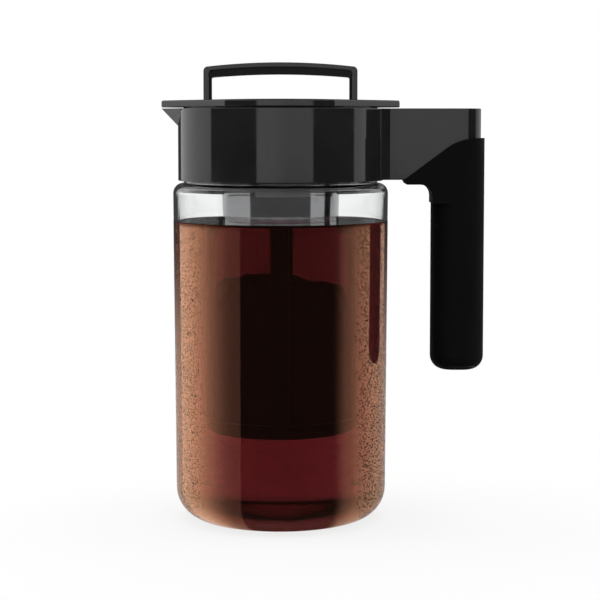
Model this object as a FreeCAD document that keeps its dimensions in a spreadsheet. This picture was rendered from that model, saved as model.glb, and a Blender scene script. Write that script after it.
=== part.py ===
"""Cold brew coffee maker: a clear jug with a spouted collar and a side handle, a twist lid that seals the
spout, and a fine-mesh infuser that hangs from the lid inside the jug.

Millimetres. +Z is up, the Z axis is the jug's axis and Z = 0 is the table. +X points to the handle, -X to
the spout and -Y to the side that faces someone who holds the handle on their right.
"""
import FreeCAD, Part
import os
import re
import Sketcher

os.makedirs("parts", exist_ok=True)
doc = FreeCAD.newDocument("cold_brew_coffee_maker")

# Driving sizes: name, millimetres, what it measures.
SIZES = [
    # clear jug
    ("jar_radius", 50.8, "outside of the wall, just under the shoulder"),
    ("jar_draft", 1.0, "how much smaller the outside is just above the bottom rounding"),
    ("jar_wall", 2.0, "wall thickness"),
    ("jar_floor", 3.0, "floor thickness"),
    ("jar_corner", 14.7, "outer rounding between wall and floor"),
    ("shoulder_height", 159.5, "table to the top of the shoulder"),
    ("shoulder_round", 4.8, "outer rounding between wall and shoulder"),
    ("shoulder_ledge", 0.3, "level ledge between the shoulder's rounding and the neck"),
    ("neck_height", 18.5, "shoulder to the neck's rim"),
    ("bead_height", 2.4, "height of the snap bead round the neck"),
    ("bead_depth", 0.7, "how far the snap bead stands out"),
    ("bead_rise", 8.0, "shoulder to the snap bead"),
    # clearances
    ("slip_gap", 0.1, "between pieces that are pushed together"),
    ("run_gap", 0.3, "between pieces that turn or slide, and round soft rings"),
    # collar and its inner ring
    ("collar_gap", 1.1, "shoulder to the collar's lower edge"),
    ("collar_height", 33.9, "lower edge to rim"),
    ("neck_clearance", 0.5, "between the neck and the collar's inside"),
    ("collar_wall", 2.2, "collar wall"),
    ("gasket_thickness", 1.2, "flat ring between the jug's rim and the neck ring"),
    ("ring_wall", 2.0, "neck ring's wall inside the neck"),
    ("ring_skirt", 12.0, "how far the neck ring reaches down into the neck"),
    ("ring_drop", 0.5, "neck ring's top under the collar's rim"),
    ("notch_half", 8.0, "half the width of the pouring notch in the neck ring"),
    ("notch_depth", 8.6, "collar's rim to the sill of the pouring notch"),
    # spout
    ("spout_length", 7.9, "collar's outside to the spout's tip"),
    ("spout_half", 15.0, "half the spout's width where it leaves the collar"),
    ("spout_depth", 9.3, "height of the spout's keel at the collar"),
    ("spout_round", 1.5, "rounding of the spout's tip"),
    ("spout_wall", 1.6, "spout wall"),
    ("tip_half", 0.9, "half the width of a spout or lobe where its tip's rounding starts"),
    # handle moulding under the grip
    ("arm_length", 46.2, "collar's outside to the arm's end face"),
    ("arm_width", 20.0, "width of the arm and of the core"),
    ("arm_depth", 33.4, "collar's rim to the underside of the arm"),
    ("core_depth", 21.4, "inner to outer face of the core inside the grip"),
    ("core_bottom", 72.6, "table to the core's lower end"),
    ("core_wall", 2.6, "wall of the hollow core"),
    ("core_roof", 22.0, "collar's rim to the top of the hollow in the core"),
    ("edge_round", 9.2, "rounding of the upright edges"),
    ("flare_depth", 3.3, "how much wider each side of the arm is at the collar"),
    ("flare_round", 12.0, "hollow rounding of that flare"),
    ("elbow_round", 5.6, "rounding under the elbow"),
    # handle screws
    ("screw_radius", 1.5, "shank"),
    ("screw_head_radius", 2.8, "countersunk head"),
    ("screw_head_height", 1.3, "countersunk head"),
    ("screw_length", 16.0, "whole length"),
    ("screw_low", 13.0, "lower screw above the collar's lower edge"),
    ("screw_spacing", 14.0, "between the two screws"),
    # silicone grip
    ("sleeve_wall", 1.6, "sleeve over the core's faces"),
    ("sleeve_bottom", 1.8, "sleeve under the core's end"),
    ("sleeve_under", 2.2, "sleeve under the elbow"),
    ("sleeve_top_drop", 13.9, "collar's rim to the grip's upper edge at the outer face"),
    ("sleeve_shelf", 9.6, "length of the nearly level upper edge"),
    ("sleeve_shelf_fall", 0.6, "how far the upper edge falls over that length"),
    ("sleeve_bend", 16.0, "radius between the level edge and the slant"),
    ("sleeve_bend_reach", 8.9, "bend's length along X"),
    ("sleeve_bend_fall", 4.3, "bend's drop"),
    ("sleeve_tip_gap", 9.5, "collar's outside to the tip of the grip under the arm"),
    ("sleeve_tip_under", 1.1, "how much shorter the underside is at the tip"),
    # lid
    ("lid_gap", 0.9, "collar's rim to the underside of the lid's cover"),
    ("lid_inset", 0.4, "how far the cover's round part stays inside the collar's outside"),
    ("lid_thickness", 2.9, "cover at its rim"),
    ("lid_dome", 0.7, "how much higher the cover is at its middle"),
    ("lobe_length", 8.7, "how far a lobe's tip stands out past the round part"),
    ("lobe_half", 16.0, "half the width of a lobe at the round part"),
    ("lobe_round", 2.0, "rounding of a lobe's tip"),
    ("plug_wall", 2.0, "wall of the lid's plug"),
    ("plug_depth", 27.4, "cover to the plug's lower face"),
    ("plug_floor", 2.2, "plug's floor"),
    ("plug_flange", 2.0, "height of the plug's two lips"),
    ("seal_depth", 1.4, "wall of the silicone sleeve round the plug"),
    ("seal_lip_gap", 0.2, "how much farther out the silicone stands than the lips"),
    ("window_half", 8.0, "half the width of a pouring window"),
    ("window_low", 10.0, "cover to a window's lower edge"),
    ("window_high", 3.4, "cover to a window's upper edge"),
    ("slot_half", 11.0, "half the length of a pouring slot in the plug's floor"),
    ("slot_edge", 0.3, "plug's wall to the corners of a slot"),
    ("top_seal_step", 0.7, "bore to the inner edge of the flat ring under the cover"),
    ("top_seal_width", 3.5, "flat ring under the cover, inner to outer edge"),
    # carrying loop on the lid
    ("loop_inset", 1.4, "plug's wall to a leg's outer face"),
    ("loop_leg", 3.8, "leg thickness"),
    ("loop_width", 9.0, "loop's width front to back"),
    ("loop_height", 21.0, "cover's underside to the loop's top at the middle"),
    ("loop_bar", 5.6, "bar's height at the middle"),
    ("loop_crown", 1.9, "how much lower the top is over the legs"),
    ("loop_under_crown", 1.4, "how much lower the underside is at the legs"),
    ("loop_round", 2.2, "outer corner rounding"),
    ("foot_depth", 2.4, "foot below the cover's underside"),
    ("foot_barb", 0.8, "snap barb's step"),
    # infuser
    ("boss_wall", 2.2, "wall of the lid's boss that carries the infuser"),
    ("boss_depth", 14.0, "plug's lower face to the boss's end"),
    ("cap_step", 1.2, "how far the infuser ring's top stands out past the cage"),
    ("cap_wall", 2.7, "infuser ring's wall at its top"),
    ("cap_draft", 0.8, "how much smaller the ring is at its lower edge"),
    ("cap_height", 25.5, "infuser ring's height"),
    ("cap_top_gap", 0.5, "infuser ring's top under the plug"),
    ("cap_ledge", 2.4, "height of the inner ledge that carries the seal"),
    ("cap_ledge_reach", 2.9, "how far that ledge stands inward"),
    ("infuser_seal_thickness", 1.2, "round seal on the ledge"),
    ("cage_radius", 27.0, "outside of the infuser's cage"),
    ("cage_wall", 2.0, "cage hoops and ribs"),
    ("cage_bottom", 41.5, "table to the infuser's lowest point"),
    ("hoop_height", 6.5, "cage's top hoop"),
    ("spigot_height", 6.0, "cage's spigot inside the infuser ring"),
    ("base_height", 7.0, "height of the base's rounded wall"),
    ("base_round", 5.0, "rounding of the base's lower edge"),
    ("base_rim", 9.0, "cage's outside to the base's mesh window"),
    ("rib_width", 7.0, "one upright rib"),
    ("mesh_thickness", 0.6, "mesh cloth and its moulded border"),
    ("mesh_depth", 0.7, "cage's outside to the mesh"),
]
RIBS = 4

# Sizes that follow from the driving sizes: name, expression, what it measures.
DERIVED = [
    # radii and reaches, from the jug's axis
    ("neck_radius", "jar_radius - shoulder_round - shoulder_ledge", "outside of the neck inside the collar"),
    ("collar_bore", "neck_radius + neck_clearance", "inside of the collar"),
    ("collar_radius", "collar_bore + collar_wall", "outside of the collar"),
    ("skirt_radius", "neck_radius - jar_wall - slip_gap", "outside of the neck ring's skirt"),
    ("bore_radius", "skirt_radius - ring_wall", "bore that the lid's plug turns in"),
    ("spout_reach", "collar_radius + spout_length", "spout's tip"),
    ("arm_end", "collar_radius + arm_length", "arm's end face"),
    ("core_inner", "arm_end - core_depth", "core's face towards the jug"),
    ("grip_outer", "arm_end + sleeve_wall", "grip's outer face"),
    ("grip_inner", "core_inner - sleeve_wall", "grip's face towards the jug"),
    ("sleeve_tip", "collar_radius + sleeve_tip_gap", "tip of the grip under the arm"),
    ("lid_radius", "collar_radius - lid_inset", "lid's cover without its lobes"),
    ("lobe_reach", "lid_radius + lobe_length", "tip of a lobe"),
    ("seal_outer", "bore_radius - run_gap", "outside of the silicone round the plug"),
    ("seal_inner", "seal_outer - seal_depth", "inside of the silicone round the plug"),
    ("plug_lip", "seal_outer - seal_lip_gap", "outside of the plug's lips"),
    ("plug_inner", "seal_inner - plug_wall", "inside of the plug's wall"),
    ("top_seal_inner", "bore_radius + top_seal_step", "inner edge of the flat ring under the cover"),
    ("top_seal_outer", "top_seal_inner + top_seal_width", "outer edge of the flat ring under the cover"),
    ("loop_half", "plug_inner - loop_inset", "outer face of a leg of the carrying loop"),
    ("cap_radius", "cage_radius + cap_step", "infuser ring's outside at its top"),
    ("cap_bore", "cap_radius - cap_wall", "infuser ring's bore for the lid's boss"),
    ("cap_ledge_inner", "cap_bore - cap_ledge_reach", "inside of the ledge that carries the seal"),
    ("boss_radius", "cap_bore - run_gap", "outside of the lid's boss"),
    ("slot_near", "boss_radius + (plug_inner - boss_radius) / 3", "a pouring slot's inner edge"),
    ("slot_far", "sqrt(plug_inner ^ 2 - slot_half ^ 2) - slot_edge", "a pouring slot's outer edge"),
    ("cage_inner", "cage_radius - cage_wall", "inside of the cage"),
    ("mesh_outer", "cage_radius - mesh_depth", "outside of the mesh"),
    ("mesh_inner", "mesh_outer - mesh_thickness", "inside of the mesh"),
    ("base_opening", "cage_radius - base_rim", "base's mesh window"),
    # heights, from the table
    ("neck_top", "shoulder_height + neck_height", "neck's rim"),
    ("collar_low", "shoulder_height + collar_gap", "collar's lower edge"),
    ("rim", "collar_low + collar_height", "collar's rim"),
    ("ring_top", "rim - ring_drop", "neck ring's top"),
    ("notch_sill", "rim - notch_depth", "sill of the pouring notch"),
    ("arm_low", "rim - arm_depth", "underside of the arm"),
    ("grip_bottom", "core_bottom - sleeve_bottom", "grip's lowest point"),
    ("grip_top", "rim - sleeve_top_drop", "grip's upper edge at its outer face"),
    ("grip_under", "arm_low - sleeve_under", "grip's underside below the arm"),
    ("cover_low", "rim + lid_gap", "underside of the lid's cover"),
    ("plug_low", "cover_low - plug_depth", "plug's lower face"),
    ("boss_end", "plug_low - boss_depth", "lower end of the lid's boss"),
    ("cap_top", "plug_low - cap_top_gap", "infuser ring's top"),
    ("cap_low", "cap_top - cap_height", "infuser ring's lower edge"),
    ("ledge_top", "boss_end - run_gap - infuser_seal_thickness", "ledge that carries the seal"),
    ("hoop_low", "cap_low - hoop_height", "lower edge of the cage's top hoop"),
    ("base_top", "cage_bottom + base_height", "top of the infuser's base"),
]
ALIASES = {name for name, size, note in SIZES + DERIVED}

sheet = doc.addObject("Spreadsheet::Sheet", "sizes")
for row, (name, size, note) in enumerate(SIZES + DERIVED, start=1):
    sheet.set(f"A{row}", name)
    sheet.set(f"B{row}", f"={size}")
    sheet.set(f"C{row}", note)
    sheet.setAlias(f"B{row}", name)
doc.recompute()

parts = []


def bound(text):
    """The expression with every size's name pointing at the sheet."""
    return re.sub(r"[a-z]\w+", lambda word: "sizes." + word[0] if word[0] in ALIASES else word[0], text)


def value(text):
    """The expression's number now."""
    return float(sheet.evalExpression(bound(text)))


def new_body(label):
    """A PartDesign body that is one piece of the object."""
    body = doc.addObject("PartDesign::Body", label)
    body.Label = label
    return body


def finish(piece, label=None):
    """List a piece for export."""
    if label:
        piece.Label = label
    parts.append(piece)
    return piece


def sketch_on(body, name, role, offset=None):
    """An empty sketch on one of the body's own origin planes, moved along the plane's normal."""
    sketch = body.newObject("Sketcher::SketchObject", name)
    plane = next(feature for feature in body.Origin.OriginFeatures if feature.Role == role)
    sketch.AttachmentSupport = (plane, "")
    sketch.MapMode = "FlatFace"
    if offset:
        sketch.setExpression("AttachmentOffset.Base.z", bound(offset))
    return sketch


def arc_between(start, end, radius):
    """The short arc from start to end; a positive radius turns left, a negative one right."""
    chord = end - start
    rise = (radius ** 2 - chord.Length ** 2 / 4) ** 0.5
    left = FreeCAD.Vector(-chord.y, chord.x, 0).normalize()
    centre = (start + end) / 2 + left * (rise if radius > 0 else -rise)
    circle = Part.Circle(centre, FreeCAD.Vector(0, 0, 1), abs(radius))
    first, last = (start, end) if radius > 0 else (end, start)
    return Part.ArcOfCircle(circle, circle.parameter(first), circle.parameter(last))


def draw_outline(sketch, corners):
    """A closed outline. Each corner is (across, up) or (across, up, radius), as expressions; the radius is
    that of the arc to the next corner, positive to the left and negative to the right."""
    points = [FreeCAD.Vector(value(corner[0]), value(corner[1]), 0) for corner in corners]
    ends = []
    for index, corner in enumerate(corners):
        start = points[index]
        end = points[(index + 1) % len(points)]
        if len(corner) == 2:
            edge = sketch.addGeometry(Part.LineSegment(start, end), False)
            ends.append((edge, 1, 2))
            continue
        radius = value(corner[2])
        edge = sketch.addGeometry(arc_between(start, end, radius), False)
        ends.append((edge, 1, 2) if radius > 0 else (edge, 2, 1))
        bind(sketch, Sketcher.Constraint("Radius", edge, abs(radius)), f"abs({corner[2]})")
    for index, corner in enumerate(corners):
        edge, start, end = ends[index]
        next_edge, next_start, next_end = ends[(index + 1) % len(ends)]
        sketch.addConstraint(Sketcher.Constraint("Coincident", edge, end, next_edge, next_start))
        pin_point(sketch, edge, start, corner[0], corner[1])
    return sketch


def pin_point(sketch, edge, end, across, up):
    """Bind one point of a sketch to two expressions."""
    bind(sketch, Sketcher.Constraint("DistanceX", -1, 1, edge, end, value(across)), across)
    bind(sketch, Sketcher.Constraint("DistanceY", -1, 1, edge, end, value(up)), up)


def bind(sketch, constraint, text):
    """Add a constraint whose number is an expression."""
    number = sketch.addConstraint(constraint)
    sketch.setExpression(f"Constraints[{number}]", bound(text))


def draw_circle(sketch, radius, across="0", up="0"):
    """A circle bound to expressions."""
    centre = FreeCAD.Vector(value(across), value(up), 0)
    circle = Part.Circle(centre, FreeCAD.Vector(0, 0, 1), value(radius))
    edge = sketch.addGeometry(circle, False)
    pin_point(sketch, edge, 3, across, up)
    bind(sketch, Sketcher.Constraint("Radius", edge, value(radius)), radius)
    return sketch


def rectangle(left, right, low, high):
    """Corners of a rectangle."""
    return [(left, low), (right, low), (right, high), (left, high)]


def rounded_rectangle(left, right, low, high, radius):
    """Corners of a rectangle with round corners."""
    return [
        (f"{left} + {radius}", low),
        (f"{right} - {radius}", low, radius),
        (right, f"{low} + {radius}"),
        (right, f"{high} - {radius}", radius),
        (f"{right} - {radius}", high),
        (f"{left} + {radius}", high, radius),
        (left, f"{high} - {radius}"),
        (left, f"{low} + {radius}", radius),
    ]


def turn(body, name, corners, angle=360):
    """Turn an outline in the XZ plane round the Z axis."""
    sketch = draw_outline(sketch_on(body, name + "_outline", "XZ_Plane"), corners)
    feature = body.newObject("PartDesign::Revolution", name)
    feature.Profile = sketch
    feature.ReferenceAxis = (sketch, ["V_Axis"])
    feature.Angle = angle
    feature.Midplane = angle < 360
    return feature


def extrude(body, sketch, name, length, kind="Pad", midplane=False, reverse=False):
    """Pad or pocket a sketch by an expression."""
    feature = body.newObject("PartDesign::" + kind, name)
    feature.Profile = sketch
    feature.setExpression("Length", bound(length))
    feature.Midplane = midplane
    feature.Reversed = reverse
    return feature


def cut_along_z(body, name, corners, low, high):
    """Cut an outline in the XY plane from one height up to another."""
    sketch = draw_outline(sketch_on(body, name + "_outline", "XY_Plane", low), corners)
    return extrude(body, sketch, name, f"{high} - {low}", "Pocket", reverse=True)


def loft(body, name, lower, upper, low, high, kind="AdditiveLoft"):
    """Loft between two outlines in level planes."""
    bottom = draw_outline(sketch_on(body, name + "_low", "XY_Plane", low), lower)
    top = draw_outline(sketch_on(body, name + "_high", "XY_Plane", high), upper)
    feature = body.newObject("PartDesign::" + kind, name)
    feature.Profile = bottom
    feature.Sections = [top]
    feature.Ruled = True
    return feature


def ring(label, inner, outer, low, high):
    """A plain ring on the Z axis."""
    body = new_body(label)
    turn(body, label + "_turn", rectangle(inner, outer, low, high))
    return finish(body)


def beak(root, half, reach, radius, side):
    """A V that points along +X or -X from a root line to a rounded tip."""
    shoulder = f"{side} * ({reach} - {radius} + sqrt({radius} ^ 2 - tip_half ^ 2))"
    near = f"{side} * ({root})"
    low, high = ("-tip_half", "tip_half") if side > 0 else ("tip_half", "-tip_half")
    start, end = (f"-({half})", half) if side > 0 else (half, f"-({half})")
    return [(near, start), (shoulder, low, radius), (shoulder, high), (near, end)]


# ---------------------------------------------------------------- jug

def make_jar():
    """Clear vessel with a rounded bottom, a round shoulder and a neck with a snap bead."""
    body = new_body("jar")
    low_radius = "(jar_radius - jar_draft)"
    wall_top = "(shoulder_height - shoulder_round)"
    bend = "(jar_radius - shoulder_round)"
    bead_low = "(shoulder_height + bead_rise)"
    neck_inner = "(neck_radius - jar_wall)"
    turn(body, "jar_turn", [
        ("0", "0"),
        (f"{low_radius} - jar_corner", "0", "jar_corner"),
        (low_radius, "jar_corner"),
        ("jar_radius", wall_top, "shoulder_round"),
        (bend, "shoulder_height"),
        ("neck_radius", "shoulder_height"),
        ("neck_radius", bead_low),
        ("neck_radius + bead_depth", f"{bead_low} + bead_height / 2"),
        ("neck_radius", f"{bead_low} + bead_height"),
        ("neck_radius", "neck_top"),
        (neck_inner, "neck_top"),
        (neck_inner, "shoulder_height - jar_wall"),
        (bend, "shoulder_height - jar_wall", "-(shoulder_round - jar_wall)"),
        ("jar_radius - jar_wall", wall_top),
        (f"{low_radius} - jar_wall", "jar_corner", "-(jar_corner - jar_wall)"),
        (f"{low_radius} - jar_corner", "jar_wall"),
        (f"{low_radius} - jar_corner - 2 * (jar_floor - jar_wall)", "jar_floor"),
        ("0", "jar_floor"),
    ])
    finish(body)


def make_neck_ring():
    """Ring inside the collar: it clamps the jug's rim and holds the bore for the lid's plug."""
    body = new_body("neck_ring")
    seat = "(neck_top + gasket_thickness)"
    turn(body, "neck_ring_turn", [
        ("bore_radius", "neck_top - ring_skirt"),
        ("skirt_radius", "neck_top - ring_skirt"),
        ("skirt_radius", seat),
        ("collar_bore - slip_gap", seat),
        ("collar_bore - slip_gap", "ring_top"),
        ("bore_radius", "ring_top"),
    ])
    notch = rectangle("-collar_radius", "-bore_radius / 2", "-notch_half", "notch_half")
    cut_along_z(body, "pouring_notch", notch, "notch_sill", "cover_low")
    finish(body)


def make_collar():
    """Glossy outer band with the spout; it snaps over the neck and carries the handle."""
    body = new_body("collar")
    groove_low = "(shoulder_height + bead_rise - slip_gap)"
    groove = "(collar_bore + bead_depth - slip_gap)"
    turn(body, "band", [
        ("collar_bore", "collar_low"),
        ("collar_radius", "collar_low"),
        ("collar_radius", "rim"),
        ("collar_bore", "rim"),
        ("collar_bore", f"{groove_low} + bead_height + 2 * slip_gap"),
        (groove, f"{groove_low} + bead_height / 2 + slip_gap"),
        ("collar_bore", groove_low),
    ])
    inside = "collar_bore + slip_gap"
    foot = "collar_radius + slip_gap"
    loft(body, "spout",
         beak("collar_radius - collar_wall / 2", "spout_wall", foot, "spout_wall", -1),
         beak(inside, "spout_half", "spout_reach", "spout_round", -1),
         "rim - spout_depth", "rim")
    loft(body, "spout_channel",
         beak("bore_radius", "spout_wall", "collar_radius - spout_wall / 2", "spout_wall", -1),
         beak("bore_radius", "spout_half - spout_wall", "spout_reach - 1.5 * spout_wall", "spout_round", -1),
         "rim - spout_depth + spout_wall", "rim", "SubtractiveLoft")
    for index, height in enumerate(screw_heights()):
        hole = sketch_on(body, f"screw_hole_{index}_outline", "YZ_Plane", "collar_bore - collar_wall")
        draw_circle(hole, "screw_radius + slip_gap", "0", height)
        extrude(body, hole, f"screw_hole_{index}", "3 * collar_wall", "Pocket", reverse=True)
        sink = sketch_on(body, f"screw_sink_{index}_outline", "YZ_Plane", "collar_bore - collar_wall")
        draw_circle(sink, "screw_head_radius + slip_gap", "0", height)
        extrude(body, sink, f"screw_sink_{index}", "collar_wall + screw_head_height", "Pocket", reverse=True)
    finish(body)


def screw_heights():
    """Heights of the two handle screws."""
    return ["(collar_low + screw_low)", "(collar_low + screw_low + screw_spacing)"]


def make_screws():
    """Two countersunk screws from inside the collar into the arm."""
    screws = []
    for index, height in enumerate(screw_heights()):
        shank = doc.addObject("Part::Cylinder", f"screw_shank_{index}")
        shank.setExpression("Radius", bound("screw_radius"))
        shank.setExpression("Height", bound("screw_length"))
        head = doc.addObject("Part::Cone", f"screw_head_{index}")
        head.setExpression("Radius1", bound("screw_head_radius"))
        head.setExpression("Radius2", bound("screw_radius"))
        head.setExpression("Height", bound("screw_head_height"))
        for solid in (shank, head):
            solid.Placement.Rotation = FreeCAD.Rotation(FreeCAD.Vector(0, 1, 0), 90)
            solid.setExpression("Placement.Base.x", bound("collar_bore"))
            solid.setExpression("Placement.Base.z", bound(height))
        screw = doc.addObject("Part::Fuse", f"screw_{index}")
        screw.Base = shank
        screw.Tool = head
        screws.append(screw)
    pair = doc.addObject("Part::Compound", "handle_screws")
    pair.Links = screws
    finish(pair, "handle_screws")


def make_handle_blank():
    """The handle moulding's outside: an arm from the collar and the core that the grip covers."""
    body = new_body("handle_blank")
    half = "(arm_width / 2)"
    core = rounded_rectangle("core_inner", "arm_end", f"-{half}", half, "edge_round")
    sketch = draw_outline(sketch_on(body, "core_outline", "XY_Plane", "core_bottom"), core)
    extrude(body, sketch, "core", "rim - core_bottom")
    arm = draw_outline(sketch_on(body, "arm_outline", "XZ_Plane"), [
        ("neck_radius / 2", "arm_low"),
        ("core_inner - elbow_round", "arm_low", "-elbow_round"),
        ("core_inner", "arm_low - elbow_round"),
        ("arm_end - edge_round", "arm_low - elbow_round"),
        ("arm_end - edge_round", "rim"),
        ("neck_radius / 2", "rim"),
    ])
    extrude(body, arm, "arm", "arm_width", midplane=True)
    root_half = f"({half} + flare_depth)"
    root = f"sqrt(collar_radius ^ 2 - {root_half} ^ 2)"
    flare_end = f"({root} + sqrt(flare_depth * (2 * flare_round - flare_depth)))"
    flare = draw_outline(sketch_on(body, "flare_outline", "XY_Plane", "arm_low"), [
        ("neck_radius / 2", f"-{root_half}"),
        (root, f"-{root_half}", "-flare_round"),
        (flare_end, f"-{half}"),
        (flare_end, half, "-flare_round"),
        (root, root_half),
        ("neck_radius / 2", root_half),
    ])
    extrude(body, flare, "flare", "arm_depth")
    return body


def make_handle(blank):
    """The handle moulding: saddle against the collar, hollow core, pilot holes for the screws."""
    tools = []
    saddle = doc.addObject("Part::Cylinder", "saddle")
    saddle.setExpression("Radius", bound("collar_radius + slip_gap"))
    saddle.setExpression("Height", bound("cover_low"))
    tools.append(saddle)
    hollow = new_body("core_hollow")
    inside = rounded_rectangle(
        "(core_inner + core_wall)", "(arm_end - core_wall)",
        "(core_wall - arm_width / 2)", "(arm_width / 2 - core_wall)", "(edge_round - core_wall)")
    sketch = draw_outline(sketch_on(hollow, "hollow_outline", "XY_Plane", "core_bottom"), inside)
    extrude(hollow, sketch, "hollow", "rim - core_roof - core_bottom")
    tools.append(hollow)
    for index, height in enumerate(screw_heights()):
        pilot = doc.addObject("Part::Cylinder", f"pilot_{index}")
        pilot.setExpression("Radius", bound("screw_radius"))
        pilot.setExpression("Height", bound("screw_length + slip_gap"))
        pilot.Placement.Rotation = FreeCAD.Rotation(FreeCAD.Vector(0, 1, 0), 90)
        pilot.setExpression("Placement.Base.x", bound("collar_bore"))
        pilot.setExpression("Placement.Base.z", bound(height))
        tools.append(pilot)
    handle = blank
    for tool in tools:
        cut = doc.addObject("Part::Cut", "handle_cut_" + tool.Name)
        cut.Base = handle
        cut.Tool = tool
        handle = cut
    finish(handle, "handle")


def make_grip(blank):
    """Silicone sleeve over the core, running up and forward under the elbow to a tip."""
    body = new_body("grip_blank")
    half = "(arm_width / 2 + sleeve_wall)"
    round_edge = "(edge_round + sleeve_wall)"
    upright = rounded_rectangle("grip_inner", "grip_outer", f"-{half}", half, round_edge)
    sketch = draw_outline(sketch_on(body, "upright_outline", "XY_Plane", "grip_bottom"), upright)
    extrude(body, sketch, "upright", "grip_top - grip_bottom")
    bend_x = "(grip_outer - sleeve_shelf)"
    bend_z = "(grip_top - sleeve_shelf_fall)"
    slant_x = f"({bend_x} - sleeve_bend_reach)"
    slant_z = f"({bend_z} - sleeve_bend_fall)"
    inside = f"(grip_inner + {round_edge})"
    elbow = draw_outline(sketch_on(body, "elbow_outline", "XZ_Plane"), [
        ("sleeve_tip + sleeve_tip_under", "grip_under"),
        ("grip_inner - elbow_round", "grip_under", "-elbow_round"),
        ("grip_inner", "grip_under - elbow_round"),
        (inside, "grip_under - elbow_round"),
        (inside, bend_z),
        (slant_x, slant_z),
        ("sleeve_tip", "arm_low"),
    ])
    extrude(body, elbow, "elbow", f"2 * {half}", midplane=True)
    crest = draw_outline(sketch_on(body, "crest_outline", "XZ_Plane"), [
        ("sleeve_tip", "arm_low"),
        (slant_x, slant_z, "-sleeve_bend"),
        (bend_x, bend_z),
        ("grip_outer + sleeve_wall", "grip_top"),
        ("grip_outer + sleeve_wall", "cover_low"),
        ("sleeve_tip", "cover_low"),
    ])
    extrude(body, crest, "crest", f"3 * {half}", "Pocket", midplane=True)
    sleeve = doc.addObject("Part::Cut", "grip_sleeve")
    sleeve.Base = body
    sleeve.Tool = blank
    finish(sleeve, "grip_sleeve")


# ---------------------------------------------------------------- lid

def make_lid_cover():
    """Slightly domed disc with a pointed lobe over the spout and one over the arm."""
    body = new_body("lid_cover")
    edge_top = "(cover_low + lid_thickness)"
    dome_radius = "((lid_radius ^ 2 + lid_dome ^ 2) / (2 * lid_dome))"
    turn(body, "disc", [
        ("0", "cover_low"),
        ("lid_radius", "cover_low"),
        ("lid_radius", edge_top, dome_radius),
        ("0", f"{edge_top} + lid_dome"),
    ])
    for name, side in (("spout_lobe", -1), ("arm_lobe", 1)):
        root = "sqrt(lid_radius ^ 2 - lobe_half ^ 2) - lid_thickness"
        outline = beak(root, "lobe_half + lid_thickness", "lobe_reach", "lobe_round", side)
        sketch = draw_outline(sketch_on(body, name + "_outline", "XY_Plane", "cover_low"), outline)
        extrude(body, sketch, name, "lid_thickness")
    leg = "(loop_leg / 2 + slip_gap)"
    middle = "(loop_half - loop_leg / 2)"
    across = "(loop_width / 2 + slip_gap)"
    for name, side in (("slot_left", "-1"), ("slot_right", "1")):
        corners = rectangle(f"{side} * {middle} - {leg}", f"{side} * {middle} + {leg}", f"-{across}", across)
        cut_along_z(body, name, corners, "cover_low", "(cover_low + 2 * lid_thickness)")
    finish(body)


def make_lid_body():
    """Plug under the cover: lips that hold the seal, pouring windows and slots, and the infuser's boss."""
    body = new_body("lid_body")
    floor_top = "(plug_low + plug_floor)"
    turn(body, "plug", [
        ("0", "plug_low"),
        ("boss_radius - boss_wall", "plug_low"),
        ("boss_radius - boss_wall", "boss_end"),
        ("boss_radius", "boss_end"),
        ("boss_radius", "plug_low"),
        ("plug_lip", "plug_low"),
        ("plug_lip", "plug_low + plug_flange"),
        ("seal_inner", "plug_low + plug_flange"),
        ("seal_inner", "cover_low - plug_flange"),
        ("plug_lip", "cover_low - plug_flange"),
        ("plug_lip", "cover_low"),
        ("plug_inner", "cover_low"),
        ("plug_inner", floor_top),
        ("0", floor_top),
    ])
    for name, side in (("front", "-1"), ("back", "1")):
        near, far = sorted([f"{side} * slot_near", f"{side} * slot_far"], key=value)
        slot = rectangle("-slot_half", "slot_half", near, far)
        cut_along_z(body, "slot_" + name, slot, "plug_low", floor_top)
    cut_windows(body)
    finish(body)


def cut_windows(body):
    """Cut the two pouring windows, a quarter turn from the spout, through a round wall."""
    window = rectangle("-window_half", "window_half", "cover_low - window_low", "cover_low - window_high")
    sketch = draw_outline(sketch_on(body, "window_outline", "XZ_Plane"), window)
    extrude(body, sketch, "windows", "4 * bore_radius", "Pocket", midplane=True)


def make_lid_gasket():
    """Silicone sleeve round the plug with two windows."""
    body = new_body("lid_gasket")
    low = "plug_low + plug_flange"
    high = "cover_low - plug_flange"
    turn(body, "sleeve", rectangle("seal_inner", "seal_outer", low, high))
    cut_windows(body)
    finish(body)


def make_lid_handle():
    """Carrying loop: a slightly crowned bar on two legs whose feet snap through the cover."""
    body = new_body("lid_handle")
    inner = "(loop_half - loop_leg)"
    top = "(cover_low + loop_height)"
    under = f"({top} - loop_bar)"
    foot = "(cover_low - foot_depth)"
    bar_half = "(loop_half - loop_round)"
    crown = f"(({bar_half} ^ 2 + loop_crown ^ 2) / (2 * loop_crown))"
    under_crown = f"(({inner} ^ 2 + loop_under_crown ^ 2) / (2 * loop_under_crown))"
    corner_z = f"{top} - loop_crown - loop_round"
    barb = f"({inner} - foot_barb)"
    sketch = draw_outline(sketch_on(body, "loop_outline", "XZ_Plane"), [
        ("loop_half", foot),
        ("loop_half", corner_z, "loop_round"),
        (bar_half, f"{top} - loop_crown", crown),
        (f"-{bar_half}", f"{top} - loop_crown", "loop_round"),
        ("-loop_half", corner_z),
        ("-loop_half", foot),
        (f"-{inner}", foot),
        (f"-{barb}", "cover_low - slip_gap"),
        (f"-{inner}", "cover_low - slip_gap"),
        (f"-{inner}", f"{under} - loop_under_crown", f"-{under_crown}"),
        (inner, f"{under} - loop_under_crown"),
        (inner, "cover_low - slip_gap"),
        (barb, "cover_low - slip_gap"),
        (inner, foot),
    ])
    extrude(body, sketch, "loop", "loop_width", midplane=True)
    finish(body)


# ---------------------------------------------------------------- infuser

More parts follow.
